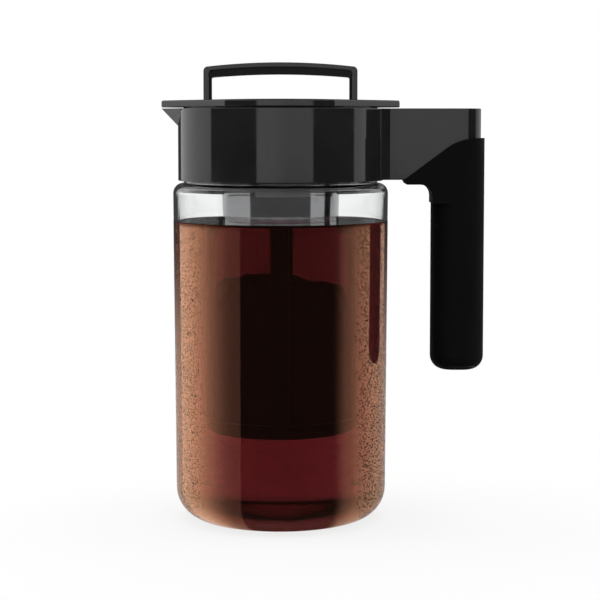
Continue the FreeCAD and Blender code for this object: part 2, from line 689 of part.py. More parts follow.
def make_infuser_ring():
    """Glossy ring that screws onto the lid's boss and carries the cage."""
    body = new_body("infuser_ring")
    lower_bore = "(cage_inner + slip_gap)"
    turn(body, "cap", [
        (lower_bore, "cap_low"),
        ("cap_radius - cap_draft", "cap_low"),
        ("cap_radius", "cap_top"),
        ("cap_bore", "cap_top"),
        ("cap_bore", "ledge_top"),
        ("cap_ledge_inner", "ledge_top"),
        ("cap_ledge_inner", "ledge_top - cap_ledge"),
        (lower_bore, "ledge_top - cap_ledge"),
    ])
    finish(body)


def make_infuser_frame():
    """Cage: a top hoop with a spigot in the ring, and four upright ribs down to the base."""
    body = new_body("infuser_frame")
    spigot_inner = "(cage_inner - cage_wall)"
    turn(body, "top_hoop", [
        (spigot_inner, "hoop_low"),
        ("cage_radius", "hoop_low"),
        ("cage_radius", "cap_low"),
        ("cage_inner", "cap_low"),
        ("cage_inner", "cap_low + spigot_height"),
        (spigot_inner, "cap_low + spigot_height"),
    ])
    sketch = draw_outline(sketch_on(body, "rib_outline", "XY_Plane", "base_top"), rib_outline())
    first = extrude(body, sketch, "rib", "hoop_low - base_top")
    pattern = body.newObject("PartDesign::PolarPattern", "ribs")
    pattern.Originals = [first]
    pattern.Axis = (sketch, ["N_Axis"])
    pattern.Angle = 360
    pattern.Occurrences = RIBS
    body.Tip = pattern
    finish(body)


def rib_outline():
    """A rib's section: a piece of the cage's round wall, on the -Y side."""
    half = "rib_width / 2"
    outer = f"-sqrt(cage_radius ^ 2 - ({half}) ^ 2)"
    inner = f"-sqrt(cage_inner ^ 2 - ({half}) ^ 2)"
    return [
        (f"-{half}", outer, "cage_radius"),
        (half, outer),
        (half, inner, "-cage_inner"),
        (f"-{half}", inner),
    ]


def make_mesh_panels():
    """Four upright mesh panels between the ribs."""
    low = "base_top + slip_gap"
    high = "hoop_low - slip_gap"
    rib_turn = "2 * asin((rib_width / 2 + slip_gap) / mesh_inner)"
    for index in range(RIBS):
        body = new_body(f"mesh_panel_{index + 1}")
        feature = turn(body, body.Label + "_turn", rectangle("mesh_inner", "mesh_outer", low, high), angle=90)
        feature.setExpression("Angle", f"{360 / RIBS} deg - {bound(rib_turn)}")
        middle = 360 / RIBS * (index + 0.5)
        body.Placement.Rotation = FreeCAD.Rotation(FreeCAD.Vector(0, 0, 1), middle)
        finish(body)


def make_infuser_base():
    """Base with a rounded lower edge and a round window for the mesh."""
    body = new_body("infuser_base")
    seat = "(cage_bottom + cage_wall / 2)"
    turn(body, "base", [
        ("base_opening", "cage_bottom"),
        ("cage_radius - base_round", "cage_bottom", "base_round"),
        ("cage_radius", "cage_bottom + base_round"),
        ("cage_radius", "base_top"),
        ("cage_inner", "base_top"),
        ("cage_inner", "cage_bottom + base_round", "-(base_round - cage_wall)"),
        ("cage_radius - base_round", "cage_bottom + cage_wall"),
        ("base_opening + cage_wall", "cage_bottom + cage_wall"),
        ("base_opening + cage_wall", seat),
        ("base_opening", seat),
    ])
    finish(body)
    ring("base_mesh", "0", "base_opening + cage_wall - slip_gap", seat, f"{seat} + mesh_thickness")


make_jar()
ring("neck_gasket", "neck_radius - jar_wall", "neck_radius", "neck_top", "neck_top + gasket_thickness")
make_neck_ring()
make_collar()
make_screws()
handle_blank = make_handle_blank()
make_handle(handle_blank)
make_grip(handle_blank)
make_lid_cover()
make_lid_body()
make_lid_gasket()
ring("lid_top_seal", "top_seal_inner", "top_seal_outer", "ring_top + run_gap", "cover_low")
make_lid_handle()
ring("infuser_seal", "cap_ledge_inner", "cap_bore - slip_gap",
     "ledge_top", "ledge_top + infuser_seal_thickness")
make_infuser_ring()
make_infuser_frame()
make_mesh_panels()
make_infuser_base()
doc.recompute()

for thing in doc.Objects:
    if "Invalid" in thing.State or "Error" in thing.State:
        raise RuntimeError(f"{thing.Label} did not build: {thing.State}")
for piece in parts:
    if piece.Shape.isNull() or not piece.Shape.isValid() or not piece.Shape.Solids:
        raise RuntimeError(f"{piece.Label} has no sound shape")
for piece in parts:
    piece.Shape.exportStep(f"parts/{piece.Label}.step")
    box = piece.Shape.BoundBox
    print(f"{piece.Label:16s} {len(piece.Shape.Solids)} solid {piece.Shape.Volume / 1000:8.2f} cm3"
          f"  x {box.XMin:7.1f} {box.XMax:7.1f}  y {box.YMin:7.1f} {box.YMax:7.1f}"
          f"  z {box.ZMin:7.1f} {box.ZMax:7.1f}")
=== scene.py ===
"""Looks of the cold brew coffee maker: detailed pieces, materials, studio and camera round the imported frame.

Lengths in the mesh sections are millimetres in the row frame, and the mesh helpers turn them into metres.
Lengths in materials, lamps and camera are metres, and angles of the studio are degrees.
"""
import math

import bmesh
import bpy
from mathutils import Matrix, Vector, noise


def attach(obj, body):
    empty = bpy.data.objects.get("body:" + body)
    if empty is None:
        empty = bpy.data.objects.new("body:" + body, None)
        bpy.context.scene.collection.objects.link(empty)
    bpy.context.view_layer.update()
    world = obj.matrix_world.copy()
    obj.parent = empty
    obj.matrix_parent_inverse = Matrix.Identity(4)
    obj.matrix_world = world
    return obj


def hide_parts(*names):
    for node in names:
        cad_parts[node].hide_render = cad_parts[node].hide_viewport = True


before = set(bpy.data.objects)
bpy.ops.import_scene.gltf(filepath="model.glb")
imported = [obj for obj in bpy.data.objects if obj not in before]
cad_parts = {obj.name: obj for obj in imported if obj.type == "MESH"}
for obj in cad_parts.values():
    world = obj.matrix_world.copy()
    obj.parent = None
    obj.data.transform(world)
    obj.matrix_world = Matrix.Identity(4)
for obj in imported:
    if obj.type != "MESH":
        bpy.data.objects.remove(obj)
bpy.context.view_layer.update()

MM = 0.001
scene = bpy.context.scene

# ---------------------------------------------------------------- node helpers


def node(tree, kind, inputs=None, **settings):
    """A shader node with its settings; inputs is {socket: value or output to link}."""
    made = tree.nodes.new(kind)
    for key, setting in settings.items():
        setattr(made, key, setting)
    for key, source in (inputs or {}).items():
        if isinstance(source, bpy.types.NodeSocket):
            tree.links.new(source, made.inputs[key])
        else:
            made.inputs[key].default_value = source
    return made


def math_node(tree, operation, *values):
    """Output of a Math node."""
    return node(tree, "ShaderNodeMath", dict(enumerate(values)), operation=operation).outputs[0]


def product(tree, first, *others):
    """The first value times all the others."""
    for other in others:
        first = math_node(tree, "MULTIPLY", first, other)
    return first


def ramp(tree, source, low, high, to_low=0.0, to_high=1.0, smooth=True):
    """Source taken from low..high to to_low..to_high, clamped."""
    kind = "SMOOTHSTEP" if smooth else "LINEAR"
    limits = {"Value": source, "From Min": low, "From Max": high, "To Min": to_low, "To Max": to_high}
    return node(tree, "ShaderNodeMapRange", limits, interpolation_type=kind).outputs["Result"]


def mix(tree, share, low, high):
    """The low value where share is 0, the high one where it is 1."""
    return node(tree, "ShaderNodeMix", {0: share, 2: low, 3: high}, data_type="FLOAT").outputs[0]


def mix_colour(tree, share, low, high):
    """The low colour where share is 0, the high one where it is 1."""
    return node(tree, "ShaderNodeMix", {0: share, 6: low, 7: high}, data_type="RGBA").outputs[2]


def mix_shader(tree, share, low, high):
    """The low shader where share is 0, the high one where it is 1."""
    return node(tree, "ShaderNodeMixShader", {0: share, 1: low, 2: high}).outputs[0]


def principled(tree, inputs):
    """Output of a Principled shader."""
    return node(tree, "ShaderNodeBsdfPrincipled", inputs).outputs[0]


def see_through(tree, colour=(1, 1, 1, 1)):
    """Output of a shader that lets rays straight through."""
    return node(tree, "ShaderNodeBsdfTransparent", {"Color": colour}).outputs[0]


def new_material(name):
    """An empty node material and its tree."""
    made = bpy.data.materials.new(name)
    made.use_nodes = True
    made.node_tree.nodes.clear()
    return made, made.node_tree


def show(tree, surface):
    """The shader becomes the material's surface."""
    node(tree, "ShaderNodeOutputMaterial", {"Surface": surface})


def object_space(tree):
    """The point's place in the piece's own space."""
    return node(tree, "ShaderNodeTexCoord").outputs["Object"]


def noise_of(tree, scale, detail, rough=0.5, stretch=(1, 1, 1)):
    """Noise in object space, in cells per metre."""
    where = object_space(tree)
    if stretch != (1, 1, 1):
        where = node(tree, "ShaderNodeMapping", {"Vector": where, "Scale": stretch}).outputs[0]
    inputs = {"Vector": where, "Scale": scale, "Detail": detail, "Roughness": rough}
    return node(tree, "ShaderNodeTexNoise", inputs).outputs["Fac"]


def cells_of(tree, scale):
    """Voronoi cells in object space, in cells per metre."""
    return node(tree, "ShaderNodeTexVoronoi", {"Vector": object_space(tree), "Scale": scale})


def bump_of(tree, height, strength, distance):
    """Normal from a height."""
    inputs = {"Height": height, "Strength": strength, "Distance": distance}
    return node(tree, "ShaderNodeBump", inputs).outputs[0]


# ---------------------------------------------------------------- materials


def plastic(name, colour, rough, spread, grain_scale, grain, tint, specular=0.5):
    """Moulded plastic or silicone: fine grain, faint upright scratches, slightly uneven gloss and colour."""
    made, tree = new_material(name)
    cloud = noise_of(tree, scale=60.0, detail=4.0)
    fine = noise_of(tree, grain_scale, detail=2.0)
    scratches = noise_of(tree, scale=900.0, detail=2.0, rough=0.6, stretch=(1.0, 1.0, 0.04))
    wear = ramp(tree, scratches, 0.62, 0.78, 0.0, 0.10)
    gloss = math_node(tree, "ADD", ramp(tree, cloud, 0.3, 0.7, rough - spread, rough + spread), wear)
    dark = tuple(part * (1 - tint) for part in colour) + (1,)
    pale = tuple(part * (1 + tint) for part in colour) + (1,)
    show(tree, principled(tree, {
        "Base Color": mix_colour(tree, ramp(tree, cloud, 0.25, 0.75), dark, pale), "Roughness": gloss,
        "IOR": 1.5, "Specular IOR Level": specular, "Normal": bump_of(tree, fine, 0.35, grain)}))
    return made


def make_steel():
    """Bright turned steel."""
    made, tree = new_material("steel")
    rings = noise_of(tree, scale=2600.0, detail=2.0, stretch=(0.05, 1.0, 1.0))
    show(tree, principled(tree, {
        "Base Color": (0.6, 0.6, 0.6, 1), "Metallic": 1.0,
        "Roughness": ramp(tree, rings, 0.3, 0.7, 0.16, 0.3),
        "Normal": bump_of(tree, rings, 0.3, 0.00002)}))
    return made


def passing_lamps(tree, shader):
    """The shader as the eye sees it; the lamps' own rays go straight through."""
    path = node(tree, "ShaderNodeLightPath")
    return mix_shader(tree, path.outputs["Is Shadow Ray"], shader, see_through(tree, (0.95, 0.95, 0.95, 1)))


def make_clear(name, shine):
    """Clear moulded copolyester: polished, with the faint waviness and scuffs of a moulded wall."""
    made, tree = new_material(name)
    wave = noise_of(tree, scale=35.0, detail=2.0, rough=0.4, stretch=(1.0, 1.0, 0.5))
    scuffs = noise_of(tree, scale=700.0, detail=3.0, rough=0.6, stretch=(1.0, 1.0, 0.15))
    shader = principled(tree, {
        "Base Color": (0.985, 0.99, 0.992, 1), "Roughness": ramp(tree, scuffs, 0.66, 0.8, 0.0, 0.05),
        "IOR": 1.5, "Transmission Weight": 1.0, "Specular Tint": (shine, shine, shine, 1),
        "Normal": bump_of(tree, wave, 0.1, 0.00008)})
    show(tree, passing_lamps(tree, shader))
    return made


def make_coffee():
    """Cold brew coffee: deep red-brown, clear in thin layers."""
    made, tree = new_material("coffee")
    swirl = noise_of(tree, scale=22.0, detail=4.0, rough=0.55, stretch=(1.0, 1.0, 0.6))
    shader = principled(tree, {
        "Base Color": (1, 1, 1, 1), "Roughness": 0.01, "IOR": 1.33, "Transmission Weight": 1.0,
        "Specular Tint": (0, 0, 0, 1), "Normal": bump_of(tree, swirl, 0.1, 0.0001)})
    volume = node(tree, "ShaderNodeVolumeAbsorption", {"Color": (0.58, 0.15, 0.19, 1), "Density": 60.0})
    node(tree, "ShaderNodeOutputMaterial", {
        "Surface": passing_lamps(tree, shader), "Volume": volume.outputs[0]})
    return made


def make_grounds():
    """Wet ground coffee: nearly black grains."""
    made, tree = new_material("grounds")
    grain = cells_of(tree, scale=1500.0)
    tone = mix_colour(tree, grain.outputs["Color"], (0.004, 0.0028, 0.0022, 1), (0.016, 0.009, 0.006, 1))
    show(tree, principled(tree, {
        "Base Color": tone, "Roughness": 0.6, "Specular IOR Level": 0.1,
        "Normal": bump_of(tree, grain.outputs["Distance"], 0.8, 0.0004)}))
    return made


def make_mesh_cloth(radius=0.0257, pitch=0.00045):
    """Fine woven nylon round a cylinder: threads over and under with open holes between them."""
    made, tree = new_material("mesh_cloth")
    x, y, z = node(tree, "ShaderNodeSeparateXYZ", {0: object_space(tree)}).outputs[:3]
    round_way = product(tree, math_node(tree, "ARCTAN2", x, y), radius)
    across, up = [math_node(tree, "ABSOLUTE", math_node(tree, "SINE", product(tree, way, math.pi / pitch)))
                  for way in (round_way, z)]
    solid = ramp(tree, math_node(tree, "MINIMUM", across, up), 0.09, 0.2, 1.0, 0.0)
    cloth = principled(tree, {
        "Base Color": (0.02, 0.018, 0.016, 1), "Roughness": 0.6, "Specular IOR Level": 0.1,
        "Normal": bump_of(tree, math_node(tree, "MAXIMUM", across, up), 0.6, 0.0001)})
    show(tree, mix_shader(tree, solid, see_through(tree), cloth))
    return made


def film_spots(tree, right, at_side):
    """1 on drops and about 1 on specks, 0 between them; at the right the specks are closer and larger."""
    fine = cells_of(tree, scale=1040.0)
    chance = node(tree, "ShaderNodeSeparateColor", {0: fine.outputs["Color"]}).outputs[0]
    share = ramp(tree, right, 0.0, 1.0, 0.7, 1.0, smooth=False)
    kept = math_node(tree, "LESS_THAN", chance, product(tree, share, at_side))
    reach = math_node(tree, "SUBTRACT", fine.outputs["Distance"], product(tree, right, 0.045))
    speck = product(tree, ramp(tree, reach, 0.28, 0.40, 1.0, 0.0), kept)
    weight = ramp(tree, right, 0.0, 1.0, 0.8, 1.0, smooth=False)
    sparse = cells_of(tree, scale=190.0)
    drop = ramp(tree, sparse.outputs["Distance"], 0.09, 0.12, 1.0, 0.0)
    return math_node(tree, "MAXIMUM", product(tree, speck, weight), product(tree, drop, at_side))


def make_wet_film():
    """Condensation: a brownish gloss, stronger at grazing angles, with dark specks at the jug's sides."""
    made, tree = new_material("condensation")
    x = node(tree, "ShaderNodeSeparateXYZ", {0: object_space(tree)}).outputs[0]
    at_side = ramp(tree, math_node(tree, "ABSOLUTE", x), 0.033, 0.041)
    right = ramp(tree, x, -0.01, 0.01)
    spots = film_spots(tree, right, at_side)
    slope = node(tree, "ShaderNodeLayerWeight", {"Blend": 0.5}).outputs["Facing"]
    streaks = ramp(tree, noise_of(tree, scale=800.0, detail=2.0, rough=0.6), 0.4, 0.6, 0.7, 1.3)
    cover = product(tree, ramp(tree, slope, 0.1, 0.75, 0.072, 0.35), mix(tree, at_side, 1.0, streaks))
    cover = math_node(tree, "MAXIMUM", cover, product(tree, spots, 0.8))
    tint = mix_colour(tree, ramp(tree, slope, 0.1, 0.6), (1.0, 0.28, 0.10, 1), (1.0, 0.52, 0.27, 1))
    shine = principled(tree, {
        "Base Color": mix_colour(tree, spots, tint, (0.05, 0.015, 0.008, 1)), "Metallic": 1.0,
        "Roughness": ramp(tree, spots, 0.0, 1.0, 0.03, 0.5)})
    show(tree, mix_shader(tree, cover, see_through(tree), shine))
    return made


def make_ring_gloss():
    """Polished dark metal look of the infuser's neck ring, faintly brushed round it."""
    made, tree = new_material("ring_gloss")
    brushed = noise_of(tree, scale=1200.0, detail=2.0, stretch=(0.1, 0.1, 1.0))
    show(tree, principled(tree, {
        "Base Color": (0.36, 0.36, 0.365, 1), "Metallic": 1.0,
        "Roughness": ramp(tree, brushed, 0.3, 0.7, 0.06, 0.1),
        "Normal": bump_of(tree, brushed, 0.1, 0.000002)}))
    return made


gloss_black = plastic("gloss_black", (0.0125, 0.0125, 0.0128), rough=0.07, spread=0.025, grain_scale=1400.0,
                      grain=0.000012, tint=0.15, specular=0.58)
satin_black = plastic("satin_black", (0.022, 0.022, 0.023), rough=0.42, spread=0.06, grain_scale=3000.0,
                      grain=0.00004, tint=0.2)
wet_black = plastic("wet_black", (0.008, 0.008, 0.008), rough=0.5, spread=0.06, grain_scale=3000.0,
                    grain=0.00004, tint=0.2, specular=0.03)
grip_rubber = plastic("grip_rubber", (0.0024, 0.0024, 0.0026), rough=0.78, spread=0.06, grain_scale=5200.0,
                      grain=0.00006, tint=0.25, specular=0.16)
seal_rubber = plastic("seal_rubber", (0.035, 0.035, 0.038), rough=0.6, spread=0.06, grain_scale=4200.0,
                      grain=0.00004, tint=0.2, specular=0.3)
steel = make_steel()
wet_film = make_wet_film()
ring_gloss = make_ring_gloss()
clear_plastic = make_clear("clear_plastic", shine=1.0)
wetted_plastic = make_clear("wetted_plastic", shine=0.0)
coffee_liquid = make_coffee()
coffee_grounds = make_grounds()
mesh_cloth = make_mesh_cloth()

# ---------------------------------------------------------------- mesh helpers


def shade(mesh, sharp):
    """Smooth shading with the edges over an angle left sharp."""
    mesh.polygons.foreach_set("use_smooth", [True] * len(mesh.polygons))
    mesh.set_sharp_from_angle(angle=math.radians(sharp))


def mesh_object(name, points, faces, material, sharp=35):
    """A mesh object from points in millimetres, smooth apart from edges over the sharp angle."""
    mesh = bpy.data.meshes.new(name)
    mesh.from_pydata([(x * MM, y * MM, z * MM) for x, y, z in points], [], faces)
    shell = bmesh.new()
    shell.from_mesh(mesh)
    bmesh.ops.remove_doubles(shell, verts=shell.verts, dist=1e-7)
    bmesh.ops.recalc_face_normals(shell, faces=shell.faces)
    shell.to_mesh(mesh)
    shell.free()
    mesh.materials.append(material)
    shade(mesh, sharp)
    made = bpy.data.objects.new(name, mesh)
    scene.collection.objects.link(made)
    return made


def rounded(corners, steps, closed=True):
    """Points of an outline; its corners (x, y, radius) are rounded and those without a radius stay sharp."""
    points = []
    count = len(corners)
    for index, corner in enumerate(corners):
        here = Vector(corner[:2])
        radius = corner[2] if len(corner) > 2 else 0
        if not radius or (not closed and index in (0, count - 1)):
            points.append(tuple(here))
            continue
        back = (Vector(corners[index - 1][:2]) - here).normalized()
        ahead = (Vector(corners[(index + 1) % count][:2]) - here).normalized()
        half = back.angle(ahead) / 2
        reach = radius / math.tan(half)
        centre = here + (back + ahead).normalized() * (radius / math.sin(half))
        start = here + back * reach - centre
        end = here + ahead * reach - centre
        turn = math.atan2(start.x * end.y - start.y * end.x, start.dot(end))
        for step in range(steps + 1):
            angle = turn * step / steps
            points.append((centre.x + start.x * math.cos(angle) - start.y * math.sin(angle),
                           centre.y + start.x * math.sin(angle) + start.y * math.cos(angle)))
    return points


def arc(radius, start, end, steps):
    """Points of an arc round the origin, both ends included."""
    angles = [start + (end - start) * step / steps for step in range(steps + 1)]
    return [(radius * math.cos(angle), radius * math.sin(angle)) for angle in angles]


def lathe(name, profile, material, segments=128, closed=True, sharp=35):
    """A profile (radius, height) turned round the Z axis."""
    points, rings, faces = [], [], []
    for radius, height in profile:
        if radius < 1e-6:
            rings.append([len(points)] * segments)
            points.append((0, 0, height))
            continue
        rings.append(list(range(len(points), len(points) + segments)))
        for index in range(segments):
            angle = 2 * math.pi * index / segments
            points.append((radius * math.cos(angle), radius * math.sin(angle), height))
    pairs = list(zip(rings, rings[1:]))
    if closed:
        pairs.append((rings[-1], rings[0]))
    for low, high in pairs:
        for index in range(segments):
            after = (index + 1) % segments
            corners = [low[index], low[after], high[after], high[index]]
            face = list(dict.fromkeys(corners))
            if len(face) > 2:
                faces.append(face)
    return mesh_object(name, points, faces, material, sharp)


def stack(name, rings, material, sharp=35):
    """A closed piece from rings of equally many points, (x, y, z) each."""
    count = len(rings[0])
    points = [point for ring in rings for point in ring]
    faces = []
    for level in range(len(rings) - 1):
        base = level * count
        for index in range(count):
            after = (index + 1) % count
            faces.append([base + index, base + after, base + count + after, base + count + index])
    faces.append(list(range(count))[::-1])
    faces.append(list(range((len(rings) - 1) * count, len(rings) * count)))
    return mesh_object(name, points, faces, material, sharp)


def inset(outline, amount):
    """A counter-clockwise outline moved inward by an amount, point by point along its normals."""
    moved = []
    count = len(outline)
    for index, (x, y) in enumerate(outline):
        before = Vector(outline[index - 1])
        after = Vector(outline[(index + 1) % count])
        here = Vector((x, y))
        one = (here - before).normalized()
        two = (after - here).normalized()
        along = (one + two).normalized()
        stretch = 1 / max(along.dot(one), 0.5)
        moved.append((x - along.y * amount * stretch, y + along.x * amount * stretch))
    return moved


def edge_steps(radius, steps=4):
    """(inset, rise) pairs of a quarter round edge, from the face's plane to the side."""
    angles = [math.pi / 2 * step / steps for step in range(steps + 1)]
    return [(radius * (1 - math.sin(angle)), radius * (1 - math.cos(angle))) for angle in angles]


def slab(name, outline, low, high, material, low_round=0.0, high_round=0.0, steps=4):
    """An outline in the XY plane raised from low to high with rounded edges."""
    rings = []
    for shrink, rise in edge_steps(low_round, steps):
        rings.append([(x, y, low + rise) for x, y in inset(outline, shrink)])
    for shrink, rise in reversed(edge_steps(high_round, steps)):
        rings.append([(x, y, high - rise) for x, y in inset(outline, shrink)])
    return stack(name, rings, material)


def slab_y(name, outline, half, material):
    """An outline in the XZ plane extruded to y = -half..half."""
    return stack(name, [[(x, y, z) for x, z in outline] for y in (-half, half)], material)


def wedge(name, lower, upper, low, high, material):
    """A piece between two outlines of equally many points in level planes."""
    return stack(name, [[(x, y, low) for x, y in lower], [(x, y, high) for x, y in upper]], material)


def combine(target, tool, operation):
    """Boolean of two pieces, applied; the tool is deleted."""
    modifier = target.modifiers.new("cut", "BOOLEAN")
    modifier.operation = operation
    modifier.object = tool
    modifier.solver = "EXACT"
    shape = bpy.data.meshes.new_from_object(target.evaluated_get(bpy.context.evaluated_depsgraph_get()))
    target.modifiers.clear()
    old = target.data
    shape.name = old.name
    target.data = shape
    bpy.data.meshes.remove(old)
    bpy.data.objects.remove(tool)
    shade(shape, 35)


def join(target, other):
    """Adds the other piece's mesh to the target's as a separate shell."""
    both = bmesh.new()
    both.from_mesh(target.data)
    both.from_mesh(other.data)
    both.to_mesh(target.data)
    both.free()
    shade(target.data, 35)
    bpy.data.objects.remove(other)


def even_normals(piece):
    """Normals weighted by face area, so that flat faces stay flat beside their rounded edges."""
    modifier = piece.modifiers.new("normals", "WEIGHTED_NORMAL")
    modifier.keep_sharp = True


def place(piece, body, slot, *nodes):
    """The piece rides on a body and stands for the CAD nodes, which are hidden; the slot is not used."""
    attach(piece, body)
    if nodes:
        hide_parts(*nodes)


# ---------------------------------------------------------------- jug

WALL = 2.0
JAR_FLOOR = 3.0
JAR_FOOT = 49.72  # outer radius that the wall would have at the table
JAR_RADIUS = 50.85  # outer radius that it would have at the shoulder
BOTTOM_ROUND = 14.7
BOTTOM_ROUND_INSIDE = 12.2
BOTTOM_STEPS = 10
SHOULDER = 159.5
NECK_RADIUS = 45.7
NECK_TOP = 178.0
BEAD_RADIUS = 46.4
BEAD_MIDDLE = 168.7
BEAD_HALF = 1.2
LIQUID_TOP = 141.6
ROUND_SEGMENTS = 192


def radius_at_liquid(foot, low, shoulder, high):
    """Radius at the coffee line of a straight wall from its foot at low to its shoulder at high."""
    return foot + (shoulder - foot) * (LIQUID_TOP - low) / (high - low)


def jar_profile():
    """Section of the jar, from the middle of its underside over the rim to the middle of its floor."""
    outside = [
        (0, 0), (JAR_FOOT, 0, BOTTOM_ROUND), (JAR_RADIUS, SHOULDER, 4.8), (NECK_RADIUS, SHOULDER, 0.25),
        (NECK_RADIUS, BEAD_MIDDLE - BEAD_HALF), (BEAD_RADIUS, BEAD_MIDDLE, 0.3),
        (NECK_RADIUS, BEAD_MIDDLE + BEAD_HALF), (NECK_RADIUS, NECK_TOP, 0.5)]
    foot, neck, widest, ceiling = JAR_FOOT - WALL, NECK_RADIUS - WALL, JAR_RADIUS - WALL, SHOULDER - WALL
    inside = [
        (neck, NECK_TOP, 0.5), (neck, ceiling, 0.6), (widest, ceiling, 2.8),
        (radius_at_liquid(foot, JAR_FLOOR, widest, ceiling), LIQUID_TOP),
        (foot, JAR_FLOOR, BOTTOM_ROUND_INSIDE), (0, JAR_FLOOR)]
    return rounded(outside + inside, BOTTOM_STEPS, closed=False)


def is_wet(centre):
    """Whether a jar's face, by its centre, is inside under the coffee line or on the underside's round."""
    reach = 48.4 if centre.z < 15 else 49.3
    return 0.6 < centre.z < LIQUID_TOP and math.hypot(centre.x, centre.y) < reach


def make_jar():
    """Clear wall; the faces at the coffee and on the underside's round have no gloss of their own."""
    jar = lathe("jar_wall", jar_profile(), clear_plastic, ROUND_SEGMENTS, closed=False, sharp=60)
    jar.data.materials.append(wetted_plastic)
    for face in jar.data.polygons:
        if is_wet(face.center / MM):
            face.material_index = 1
    even_normals(jar)
    place(jar, "jug", "clear_plastic", "jar")


def make_liquid():
    """Coffee; its skin lies about 0.1 mm within the jar's plastic, so that no air shows between them."""
    floor, foot, edge, flat = JAR_FLOOR - 0.1, 47.85, 48.82, 48.5
    profile = rounded([
        (0, floor), (foot, floor, 12.3), (edge, LIQUID_TOP + 0.2), (flat, LIQUID_TOP), (0, LIQUID_TOP)],
        BOTTOM_STEPS, closed=False)
    liquid = lathe("coffee", profile, coffee_liquid, ROUND_SEGMENTS, closed=False, sharp=60)
    even_normals(liquid)
    place(liquid, "jug", "clear_plastic")


def make_film():
    """Condensation on the outside of the cold wall, up to the height of the liquid: a closed skin."""
    bottom = jar_profile()[2:2 + BOTTOM_STEPS]
    edge = radius_at_liquid(JAR_FOOT, 0, JAR_RADIUS, SHOULDER)
    near = [(radius + 0.03, height - 0.02) for radius, height in bottom] + [(edge + 0.03, LIQUID_TOP)]
    far = [(radius + 0.10, height - 0.05) for radius, height in bottom] + [(edge + 0.10, LIQUID_TOP)]
    film = lathe("condensation_film", near + far[::-1], wet_film, ROUND_SEGMENTS, sharp=60)
    even_normals(film)
    place(film, "jug", "clear_plastic")


RIM = 194.5
COLLAR_FOOT = 160.6
COLLAR_RADIUS = 48.4
COLLAR_INSIDE = 46.2
SPOUT_REACH = 56.3
SPOUT_TIP = 1.2
SPOUT_FOOT = 185.2
CHANNEL_FLOOR = 186.9


def beak(root, half, reach):
    """Points of a V that points along -X, from its root line to its rounded tip."""
    slope = math.atan2(half, reach - root)
    tip = -reach - SPOUT_TIP * (1 / math.sin(slope) - 1)
    return rounded([(-root, half), (tip, 0, SPOUT_TIP), (-root, -half)], 5, closed=False)


def make_collar():
    """Collar with the spout, which grows out of the wall towards the rim, and the spout's channel."""
    collar = lathe("collar", rounded([
        (COLLAR_INSIDE, COLLAR_FOOT, 0.4), (COLLAR_RADIUS, COLLAR_FOOT, 0.4), (COLLAR_RADIUS, RIM, 0.45),
        (COLLAR_INSIDE, RIM, 0.45)], 4), gloss_black, ROUND_SEGMENTS)
    spout = wedge("spout_outside", beak(46.4, 1.2, 48.9), beak(46.4, 15.9, SPOUT_REACH),
                  SPOUT_FOOT, RIM + 0.01, gloss_black)
    combine(collar, spout, "UNION")
    channel = wedge("spout_channel", beak(40.0, 1.6, 47.6), beak(40.0, 17.0, SPOUT_REACH - 2.1),
                    CHANNEL_FLOOR, RIM + 0.02, gloss_black)
    combine(collar, channel, "DIFFERENCE")
    even_normals(collar)
    place(collar, "jug", "gloss_black", "collar")


ARM_LOW = 161.1
ARM_HALF = 10.0
ARM_END = 94.6
ARM_END_ROUND = 9.2
CORE_INNER = 73.2
CORE_FOOT = 72.6


def arm_outline(root_half=13.3, flare=12.0, steps=10):
    """Plan of the arm: saddle against the collar, hollow flare, straight sides and a rounded end."""
    saddle = COLLAR_RADIUS + 0.1
    start = math.asin(root_half / saddle)
    root_x = math.sqrt(COLLAR_RADIUS ** 2 - root_half ** 2)
    sweep = math.acos((flare - (root_half - ARM_HALF)) / flare)
    lower = []
    for step in range(1, steps + 1):
        angle = sweep * (1 - step / steps)
        lower.append((root_x + flare * math.sin(sweep) - flare * math.sin(angle),
                      -(ARM_HALF + flare - flare * math.cos(angle))))
    upper = [(x, -y) for x, y in reversed(lower)]
    end = rounded([(70, -ARM_HALF), (ARM_END, -ARM_HALF, ARM_END_ROUND), (ARM_END, ARM_HALF, ARM_END_ROUND),
                   (70, ARM_HALF)], 12, closed=False)[1:-1]
    return arc(saddle, start, -start, 12) + lower + end + upper


def make_handle():
    """Glossy arm with the core that the grip is pulled over."""
    arm = slab("handle_arm", arm_outline(), ARM_LOW, RIM, gloss_black, 0.5, 0.5)
    core_end = ARM_END - 0.02
    core_outline = rounded([
        (CORE_INNER, -ARM_HALF, ARM_END_ROUND), (core_end, -ARM_HALF, ARM_END_ROUND),
        (core_end, ARM_HALF, ARM_END_ROUND), (CORE_INNER, ARM_HALF, ARM_END_ROUND)], 10)
    core = slab("handle_core", core_outline, CORE_FOOT, 170.0, gloss_black, 0.5, 0.5)
    combine(arm, core, "UNION")
    even_normals(arm)
    place(arm, "jug", "gloss_black", "handle")


GRIP_INNER = 71.2
GRIP_OUTER = 96.4
GRIP_HALF = 11.6
GRIP_ROUND = 10.8
GRIP_FOOT = 70.8
GRIP_TOP = 184.0
ELBOW_LOW = 158.9
ELBOW_INNER = 57.9


